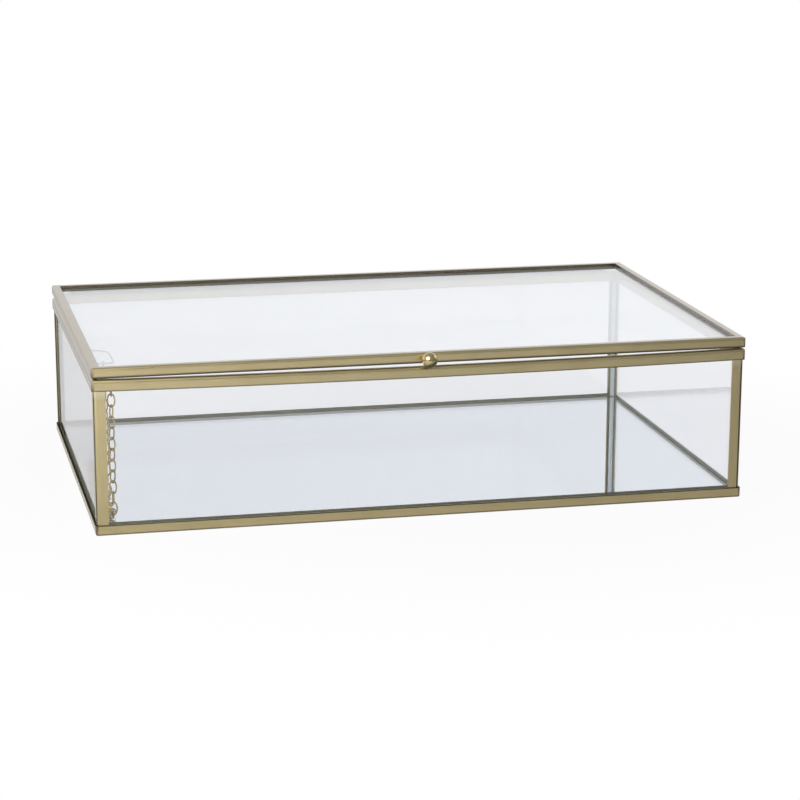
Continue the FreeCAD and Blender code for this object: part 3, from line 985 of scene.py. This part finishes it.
# Studio: a pale floor that runs out to white, and a pale backdrop behind the box. A near soft box at the
# front left and a small one on the right light it, each fading towards its rim. The rest of the room is
# dimmer, and more so to the right.
FLOOR_REACH = 8.0
FLOOR_GAP = 0.1 * MM
SMOOTH = "SMOOTHSTEP"
CLOTH_MIDDLE = (0.5, 0.5, 0)
floor_sheet = bmesh.new()
bmesh.ops.create_grid(floor_sheet, x_segments=1, y_segments=1, size=FLOOR_REACH)
bmesh.ops.translate(floor_sheet, verts=floor_sheet.verts[:], vec=(0, 0, -FLOOR_GAP))
floor_mesh = bpy.data.meshes.new("studio_floor")
floor_sheet.to_mesh(floor_mesh)
floor_sheet.free()
studio_floor = bpy.data.objects.new("studio_floor", floor_mesh)
bpy.context.scene.collection.objects.link(studio_floor)
paper, paper_tree, paper_shader = new_finish("studio_paper")
paper_tree.nodes.remove(paper_shader)
paper_matt = add_step(paper_tree, "ShaderNodeBsdfDiffuse", {"Color": (0.86, 0.86, 0.865, 1)})
paper_white = add_step(paper_tree, "ShaderNodeEmission", {"Strength": 1.0})
paper_path = add_step(paper_tree, "ShaderNodeLightPath", {}).outputs
paper_place = add_step(paper_tree, "ShaderNodeTexCoord", {}).outputs["Object"]
paper_axes = add_step(paper_tree, "ShaderNodeSeparateXYZ", {"Vector": paper_place}).outputs
paper_behind = change(paper_tree, paper_axes["Y"], over=(-0.1, 0.2), gives=(0.0, 0.5), kind=SMOOTH)
paper_gloss = combine(paper_tree, "MULTIPLY", paper_path["Is Glossy Ray"], paper_behind)
paper_seen = combine(
    paper_tree, "MAXIMUM", paper_path["Is Camera Ray"], paper_path["Is Transmission Ray"]
)
paper_shown = combine(paper_tree, "MAXIMUM", paper_seen, paper_gloss)
paper_length = add_step(paper_tree, "ShaderNodeVectorMath", {0: paper_place}, operation="LENGTH")
paper_reach = paper_length.outputs["Value"]
paper_far = change(paper_tree, paper_reach, over=(0.12, 0.34), gives=(0.93, 1.0), kind=SMOOTH)
paper_share = combine(paper_tree, "MULTIPLY", paper_shown, paper_far)
blend_shaders(paper_tree, paper_share, paper_matt.outputs["BSDF"], paper_white.outputs["Emission"])
floor_mesh.materials.append(paper)

world = bpy.data.worlds.new("studio_room")
bpy.context.scene.world = world
world.use_nodes = True
room = world.node_tree
room_way = add_step(room, "ShaderNodeTexCoord", {}).outputs["Generated"]
room_axes = add_step(room, "ShaderNodeSeparateXYZ", {"Vector": room_way}).outputs
room_path = add_step(room, "ShaderNodeLightPath", {}).outputs
room_tint = add_step(
    room,
    "ShaderNodeMix",
    {"Factor": room_path["Is Camera Ray"], "A": (0.965, 0.985, 1.015, 1), "B": (1, 1, 1, 1)},
    data_type="RGBA",
)
behind = change(room, room_axes["Y"], over=(-0.25, 0.35), gives=(0.0, 1.0), kind=SMOOTH)
below = change(room, room_axes["Z"], over=(0.35, 0.8), gives=(1.0, 0.0), kind=SMOOTH)
to_right = change(room, room_axes["X"], over=(0.05, 0.32), gives=(0.94, 1.0), kind=SMOOTH)
backdrop = combine(room, "MULTIPLY", combine(room, "MULTIPLY", behind, below), to_right)
to_left = change(room, room_axes["X"], over=(-0.9, 0.9), gives=(0.55, 0.3), kind=SMOOTH)
overhead = change(room, room_axes["Z"], over=(0.15, 0.6), gives=(0.85, 1.0), kind=SMOOTH)
walls = combine(room, "MULTIPLY", to_left, overhead)
dimming = change(room, room_path["Is Diffuse Ray"], over=(0.0, 1.0), gives=(1.0, 0.25))
room_level = combine(room, "MULTIPLY", combine(room, "MAXIMUM", backdrop, walls), dimming)
room_level = combine(room, "MAXIMUM", room_level, room_path["Is Camera Ray"])
feed(room, room.nodes["Background"], {"Color": room_tint.outputs["Result"], "Strength": room_level})


def from_table(azimuth, elevation):
    """The way from the table at two angles in degrees. Azimuth 0 is in front, 90 on the right."""
    round_table = math.radians(azimuth)
    upward = math.radians(elevation)
    outward = math.cos(upward)
    return Vector((math.sin(round_table) * outward, -math.cos(round_table) * outward, math.sin(upward)))


def facing(way):
    """The turn of a lamp or a camera that faces along a way, with its top upwards."""
    return way.to_track_quat("-Z", "Y").to_euler()


def soft_box(name, azimuth, elevation, distance, size, power, target):
    """A square soft box that faces a spot on the table, and fades towards its rim."""
    lamp = bpy.data.lights.new(name, "AREA")
    lamp.shape = "SQUARE"
    lamp.size = size
    lamp.energy = power
    lamp.use_nodes = True
    tree = lamp.node_tree
    cloth = add_step(tree, "ShaderNodeNewGeometry", {}).outputs["Parametric"]
    off_middle = add_step(
        tree, "ShaderNodeVectorMath", {0: cloth, 1: CLOTH_MIDDLE}, operation="DISTANCE"
    ).outputs["Value"]
    glow = change(tree, off_middle, over=(0.3, 0.5), gives=(1.34, 0.0), kind=SMOOTH)
    feed(tree, tree.nodes["Emission"], {"Strength": glow})
    box = bpy.data.objects.new(name, lamp)
    box.location = from_table(azimuth, elevation) * distance
    box.rotation_euler = facing(Vector(target) - box.location)
    bpy.context.scene.collection.objects.link(box)


soft_box(
    "soft_box_front_left",
    azimuth=-38,
    elevation=35,
    distance=0.85,
    size=0.8,
    power=8.6,
    target=(-0.08, -0.42, 0),
)
soft_box(
    "soft_box_right",
    azimuth=100,
    elevation=30,
    distance=1.8,
    size=0.6,
    power=1.2,
    target=(0, 0, 0),
)

CAMERA_DISTANCE = 1.22945
CAMERA_AZIMUTH = -12.264
CAMERA_ELEVATION = 15.177
LENS_LENGTH = 113.03
SENSOR_WIDTH = 36
SHIFT_RIGHT = 0.02269
SHIFT_UP = 0.07808
aim = Vector((0, (front + back) / 2, 0))
toward = from_table(CAMERA_AZIMUTH, CAMERA_ELEVATION)
lens = bpy.data.cameras.new("camera")
lens.sensor_width = SENSOR_WIDTH
lens.lens = LENS_LENGTH
lens.shift_x = SHIFT_RIGHT
lens.shift_y = SHIFT_UP
camera = bpy.data.objects.new("camera", lens)
camera.location = aim + toward * CAMERA_DISTANCE
camera.rotation_euler = facing(-toward)
bpy.context.scene.collection.objects.link(camera)
bpy.context.scene.camera = camera
bpy.context.scene.view_settings.view_transform = "Standard"
